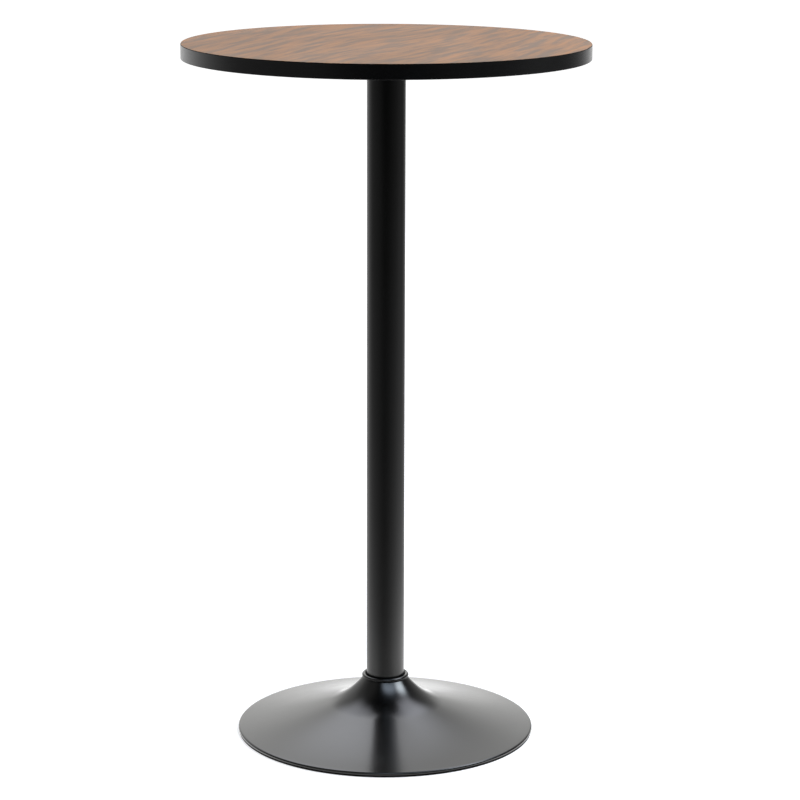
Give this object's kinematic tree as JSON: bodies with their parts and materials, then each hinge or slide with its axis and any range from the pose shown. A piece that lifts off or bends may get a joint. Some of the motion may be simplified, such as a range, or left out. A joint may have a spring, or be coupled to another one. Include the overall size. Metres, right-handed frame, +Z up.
{
  "type": "pub table",
  "caption": "Tall round pub table: a wood-grain laminate top with a black edge band on a slim black steel column that rises from a trumpet-shaped weighted base.",
  "frame": {"origin": "on the floor under the middle of the table", "axes": "+Z up along the column, -Y towards someone who stands in front of the table, +X to their right"},
  "size_m": [0.6, 0.6, 1.05],
  "materials": {
    "top_laminate": "printed wood-grain laminate, satin",
    "board_core": "raw fibreboard, matt",
    "backer_laminate": "black backing laminate, matt",
    "edge_plastic": "black edge band, satin with a fine grain",
    "black_paint": "black powder coat, satin",
    "collar_plastic": "black moulded plastic, glossy",
    "floor_rubber": "black rubber, matt",
    "zinc_steel": "zinc-plated steel, bright",
    "ballast_iron": "raw cast iron, rough"
  },
  "bodies": {
    "root": {"tabletop_core": "board_core", "wood_laminate": "top_laminate", "backer_sheet": "backer_laminate", "edge_band": "edge_plastic", "insert_nuts": "zinc_steel", "top_plate": "black_paint", "plate_flat_washers": "zinc_steel", "plate_spring_washers": "zinc_steel", "plate_bolts": "zinc_steel", "column_tube": "black_paint", "top_spigot": "black_paint", "base_spigot": "black_paint", "tie_rod": "zinc_steel", "rod_anchor_nut": "zinc_steel", "rod_nut": "zinc_steel", "rod_washer": "zinc_steel", "rod_spring_washer": "zinc_steel", "base_shell": "black_paint", "neck_collar": "collar_plastic", "base_plate": "black_paint", "ballast_ring": "ballast_iron", "ballast_screws": "zinc_steel", "floor_ring": "floor_rubber"}
  },
  "joints": []
}
